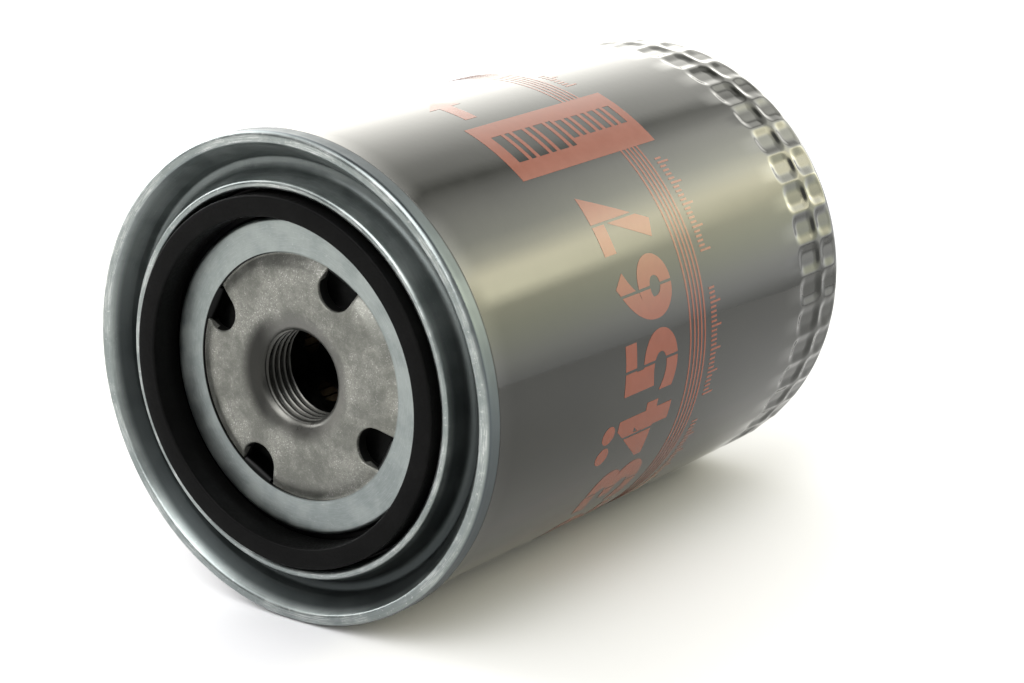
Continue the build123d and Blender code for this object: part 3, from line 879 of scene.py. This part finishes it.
def make_numerals():
    """Tightening index numbers, with two dots over each four."""
    outlines = []
    for half in (0, 1):
        for k, digit in enumerate(DIGITS):
            middle = DIGIT_START + DIGIT_PITCH * k + HALF_TURN * half
            outlines.append(numeral(digit, middle, *DIGIT_AXIAL, DIGIT_WIDTH))
            if digit == 4:
                outlines += [dot_outline(middle + side, DOTS_AXIAL, DOT_RADIUS)
                             for side in (-DOT_OFFSET, DOT_OFFSET)]
    return wrapped("print_numerals", outlines)


def make_panels():
    """Two solid panels with plain bars left open in them, tall towards the cover and short behind."""
    outlines = []
    for half in (0, 1):
        a0, a1 = (a + HALF_TURN * half for a in PANEL)
        m0, m1 = (a + HALF_TURN * half for a in MARKS)
        y = PANEL_AXIAL[0] + PANEL_FRONT
        outlines.append(box_outline(a0, a1, PANEL_AXIAL[0], y))
        for k in range(13):
            tall = k < 6
            bar = (3.0, 1.4)[k % 2] if tall else (2.0, 1.2)[k % 2]
            cut0 = m0 if tall else m0 + 2.2
            cut1 = m1 if tall else m1 - 0.6
            outlines += [box_outline(a0, cut0, y, y + bar), box_outline(cut1, a1, y, y + bar)]
            outlines.append(box_outline(a0, a1, y + bar, y + bar + MARK_GAP))
            y += bar + MARK_GAP
        outlines.append(box_outline(a0, a1, y, PANEL_AXIAL[1]))
    return wrapped("print_panels", outlines)


def make_graduation():
    """Fine ticks round the can behind the pinstripes, every fifth one long."""
    outlines = []
    for half in (0, 1):
        for start, count in TICK_RUNS:
            for k in range(count):
                angle = start + TICK_PITCH * k + HALF_TURN * half
                length = 3.6 if k % 5 == 0 else 2.0
                outlines.append(box_outline(angle, angle + TICK_WIDTH, TICK_AXIAL, TICK_AXIAL + length))
    return wrapped("print_graduation", outlines)


def make_arrows():
    """Plain arrows that show which way to tighten."""
    outlines = []
    for half in (0, 1):
        a = ARROW_START + HALF_TURN * half
        outlines.append([(a, 34.6), (a + 8, 34.6), (a + 8, 31.6), (a + 12.5, 36.4), (a + 8, 41.2),
                         (a + 8, 38.2), (a, 38.2)])
    return wrapped("print_arrows", outlines)


# ---------------------------------------------------------------- floor, light and camera

FLOOR_REACH = 3000
FLOOR_BACK = 270


def make_floor():
    """A plain pale floor that touches the seam's rim and the can's rear end, and ends close behind it."""
    slope = (SEAM_RADIUS - CAN_RADIUS) / (WALL_END - SEAM_FOOT)
    corners = [(x, y, -SEAM_RADIUS + slope * (y - SEAM_FOOT)) for x, y in
               ((-FLOOR_REACH, -FLOOR_REACH), (FLOOR_REACH, -FLOOR_REACH),
                (FLOOR_REACH, FLOOR_BACK), (-FLOOR_REACH, FLOOR_BACK))]
    mesh = bpy.data.meshes.new("floor")
    mesh.from_pydata([tuple(c * MM for c in p) for p in corners], [], [(0, 1, 2, 3)])
    made, tree, shader, place = start_material("floor_paper", 0.0)
    colour = blend_colours(tree, noise(tree, place, 3.0), (0.65, 0.65, 0.66, 1),
                           (0.67, 0.67, 0.68, 1))
    tree.links.new(colour, shader.inputs["Base Color"])
    shader.inputs["Roughness"].default_value = 0.9
    shader.inputs["Specular IOR Level"].default_value = 0.1
    mesh.materials.append(made)
    floor = linked("floor", mesh)
    return floor


# Brightness of the studio's walls by the angle round the Y axis, from +X up over +Z, in degrees: behind the
# filter, the same wall nearer its axis, beside the filter and before it. LAMP is the brightness that a colour
# ramp's 1 stands for.
LAMP = 16.0
BEHIND = [(-180, 2.2), (-150, 1.2), (-22, 1.15), (-12, 2.1), (-3, 3.2), (5, 3.8), (14, 4.4), (23, 5.4), (30, 13.5),
          (39, 13.5), (48, 7.3), (57, 4.7), (66, 3.8), (75, 2.8), (83, 1.8), (90, 0.75), (98, 1.8), (108, 2.1),
          (116, 2.8), (125, 3.4), (134, 4.1), (150, 4.8), (170, 4.4), (180, 2.2)]
FARTHER = [(-180, 2.2), (-150, 1.2), (-22, 1.3), (-12, 2.9), (-3, 3.8), (5, 4.4), (14, 5.1), (23, 5.9), (31, 7.8),
           (40, 10.6), (47, 9.8), (57, 6.6), (66, 5.1), (74, 4.2), (82, 2.3), (89, 1.4), (97, 3.0), (108, 3.2),
           (125, 3.7), (134, 4.2), (150, 5.2), (170, 4.6), (180, 2.2)]
BESIDE = [(-180, 1.15), (-2, 1.15), (3, 1.0), (60, 0.7), (75, 0.1), (102, 0.15), (115, 1.2), (130, 2.6), (143, 6.0),
          (160, 8.0), (175, 7.0), (180, 1.15)]
BEFORE = [(-180, 1.15), (-2, 1.15), (3, 0.4), (44, 0.4), (56, 1.5), (68, 6.0), (82, 6.9), (97, 4.4), (113, 2.0),
          (128, 0.15), (176, 0.1), (180, 1.15)]
# The walls' tint by the same angle: warm in the lamp's streak, nearly neutral elsewhere.
TINT = [(-180, (1.0, 1.0, 1.0)), (-8, (1.0, 1.0, 0.97)), (10, (1.0, 1.02, 0.80)), (24, (1.0, 0.98, 0.72)),
        (36, (1.0, 0.94, 0.66)), (54, (1.0, 1.0, 0.85)), (80, (1.0, 0.99, 0.92)), (180, (1.0, 0.98, 0.92))]


def light_curve(tree, angle, stops, tint=None):
    """Brightness along the angle as a colour ramp, with a tint."""
    turn = math_node(tree, "DIVIDE", plus(tree, angle, math.pi), 2 * math.pi)
    node = add(tree, "ValToRGB", {0: turn})
    elements = node.color_ramp.elements
    while len(elements) > 1:
        elements.remove(elements[-1])
    elements[0].position = 0.0
    for number, (degrees, value) in enumerate(stops):
        element = elements.new((degrees + 180) / 360) if number else elements[0]
        shade = (1.0, 1.0, 1.0)
        if tint:
            places, shades = zip(*tint)
            shade = [np.interp(degrees, places, channel) for channel in zip(*shades)]
        element.color = [value / LAMP * k for k in shade] + [1]
    return node.outputs[0]


def make_world():
    """The studio's soft light as a world whose brightness depends on direction."""
    world = bpy.data.worlds.new("studio")
    world.use_nodes = True
    bpy.context.scene.world = world
    tree = world.node_tree
    background = tree.nodes["Background"]
    direction = add(tree, "TexCoord").outputs["Generated"]
    parts = add(tree, "SeparateXYZ", {0: direction}).outputs
    angle = math_node(tree, "ARCTAN2", parts[2], parts[0])
    behind = blend_colours(tree, ramp(tree, parts[1], 0.765, 0.835),
                           light_curve(tree, angle, BEHIND, TINT),
                           light_curve(tree, angle, FARTHER, TINT))
    beside = light_curve(tree, angle, BESIDE)
    before = light_curve(tree, angle, BEFORE)
    light = blend_colours(tree, ramp(tree, parts[1], -0.45, -0.15), before, beside)
    light = blend_colours(tree, ramp(tree, parts[1], 0.48, 0.62), light, behind)
    tree.links.new(light, background.inputs["Color"])
    background.inputs["Strength"].default_value = LAMP


CAMERA_PLACE = (326.99, -372.27, 154.52)


def make_camera():
    """The camera, 97 mm on a 36 mm frame, above and to the right of the mounting face."""
    heading = math.radians(36.714)
    down = math.radians(16.666)
    roll = math.radians(-0.302)
    forward = Vector((-math.sin(heading) * math.cos(down), math.cos(heading) * math.cos(down),
                      -math.sin(down)))
    right = Vector((math.cos(heading), math.sin(heading), 0))
    up = right.cross(forward)
    across = math.cos(roll) * right + math.sin(roll) * up
    upright = -math.sin(roll) * right + math.cos(roll) * up
    camera = bpy.data.cameras.new("camera")
    camera.lens = 96.715
    camera.sensor_width = 36.0
    camera.clip_end = 50.0
    holder = linked("camera", camera)
    place = Matrix((across, upright, -forward)).transposed().to_4x4()
    place.translation = Vector(CAMERA_PLACE) * MM
    holder.matrix_world = place
    bpy.context.scene.camera = holder
    bpy.context.scene.view_settings.view_transform = "Standard"


finish_cad_nodes()
make_can()
make_cover()
make_base_plate()
make_gasket()
make_bypass_spring()
make_pinstripes()
make_numerals()
make_panels()
make_graduation()
make_arrows()
make_floor()
make_world()
make_camera()
